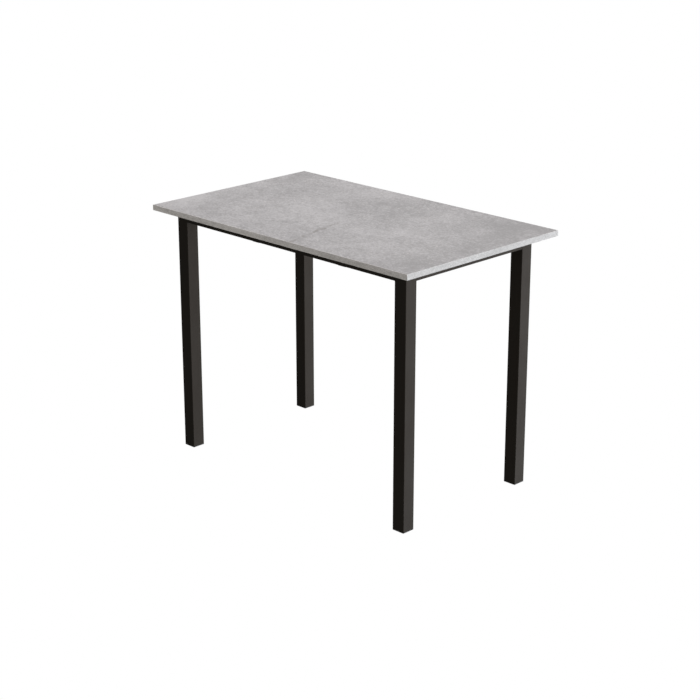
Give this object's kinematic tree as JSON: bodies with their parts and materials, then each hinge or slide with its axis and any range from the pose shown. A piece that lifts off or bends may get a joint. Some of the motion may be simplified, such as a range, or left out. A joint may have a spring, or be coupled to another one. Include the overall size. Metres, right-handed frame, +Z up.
{
  "type": "extendable dining table",
  "caption": "Rectangular dining table with a concrete-look top on a slim black square-tube frame, support arms that pull out at one end, and a loose extension leaf stored on straps below.",
  "frame": {"origin": "on the floor, under the middle of the closed table", "axes": "+X along the top to its plain end, -X towards the end that extends, +Y to the back long side, +Z up"},
  "size_m": [1, 0.6, 0.74],
  "materials": {
    "concrete_laminate_board": "matt printed concrete-look melamine on particle board, light grey with soft clouding",
    "edge_band": "matt ABS edge band printed to match the top",
    "black_powder_coated_steel": "fine-texture black powder coat on steel tube",
    "zinc_plated_steel": "bright zinc plating on drawn tube, pressed plate and fasteners",
    "black_plastic": "moulded black polyethylene with a fine grain",
    "nylon": "moulded natural nylon, smooth and slightly waxy",
    "beech_dowel": "turned beech, unfinished"
  },
  "bodies": {
    "table": {"top_board": "concrete_laminate_board", "top_edge_front": "edge_band", "top_edge_back": "edge_band", "top_edge_left": "edge_band", "top_edge_right": "edge_band", "leg_front_left": "black_powder_coated_steel", "leg_front_right": "black_powder_coated_steel", "leg_back_left": "black_powder_coated_steel", "leg_back_right": "black_powder_coated_steel", "apron_front": "black_powder_coated_steel", "apron_back": "black_powder_coated_steel", "apron_left": "black_powder_coated_steel", "apron_right": "black_powder_coated_steel", "hanger_left": "black_powder_coated_steel", "hanger_right": "black_powder_coated_steel", "foot_front_left": "black_plastic", "foot_front_right": "black_plastic", "foot_back_left": "black_plastic", "foot_back_right": "black_plastic", "arm_liner_front": "nylon", "arm_liner_back": "nylon", "bracket_front_left": "zinc_plated_steel", "bracket_front_right": "zinc_plated_steel", "bracket_back_left": "zinc_plated_steel", "bracket_back_right": "zinc_plated_steel", "leg_bolt_front_left": "zinc_plated_steel", "leg_bolt_front_right": "zinc_plated_steel", "leg_bolt_back_left": "zinc_plated_steel", "leg_bolt_back_right": "zinc_plated_steel", "apron_bolt_front_left": "zinc_plated_steel", "apron_bolt_front_right": "zinc_plated_steel", "apron_bolt_back_left": "zinc_plated_steel", "apron_bolt_back_right": "zinc_plated_steel", "top_screw_front_left": "zinc_plated_steel", "top_screw_front_right": "zinc_plated_steel", "top_screw_back_left": "zinc_plated_steel", "top_screw_back_right": "zinc_plated_steel", "hanger_bolt_front_left": "zinc_plated_steel", "hanger_bolt_front_right": "zinc_plated_steel", "hanger_bolt_back_left": "zinc_plated_steel", "hanger_bolt_back_right": "zinc_plated_steel", "arm_guide_front": "zinc_plated_steel", "arm_guide_back": "zinc_plated_steel", "guide_screw_front_1": "zinc_plated_steel", "guide_screw_front_2": "zinc_plated_steel", "guide_screw_back_1": "zinc_plated_steel", "guide_screw_back_2": "zinc_plated_steel"},
    "front_arm": {"arm_front": "zinc_plated_steel", "arm_stop_front": "zinc_plated_steel", "arm_cap_front": "black_plastic"},
    "back_arm": {"arm_back": "zinc_plated_steel", "arm_stop_back": "zinc_plated_steel", "arm_cap_back": "black_plastic"},
    "leaf": {"leaf_board": "concrete_laminate_board", "leaf_edge_front": "edge_band", "leaf_edge_back": "edge_band", "leaf_edge_left": "edge_band", "leaf_edge_right": "edge_band", "leaf_dowel_1": "beech_dowel", "leaf_dowel_2": "beech_dowel"}
  },
  "joints": [
    {"name": "front_arm_slide", "type": "slide", "parent": "table", "child": "front_arm", "axis": [-1, 0, 0], "range_m": [0, 0.42]},
    {"name": "back_arm_slide", "type": "slide", "parent": "table", "child": "back_arm", "axis": [-1, 0, 0], "range_m": [0, 0.42]},
    {"name": "leaf_slide", "type": "slide", "parent": "table", "child": "leaf", "axis": [-1, 0, 0], "range_m": [0, 0.48]}
  ]
}
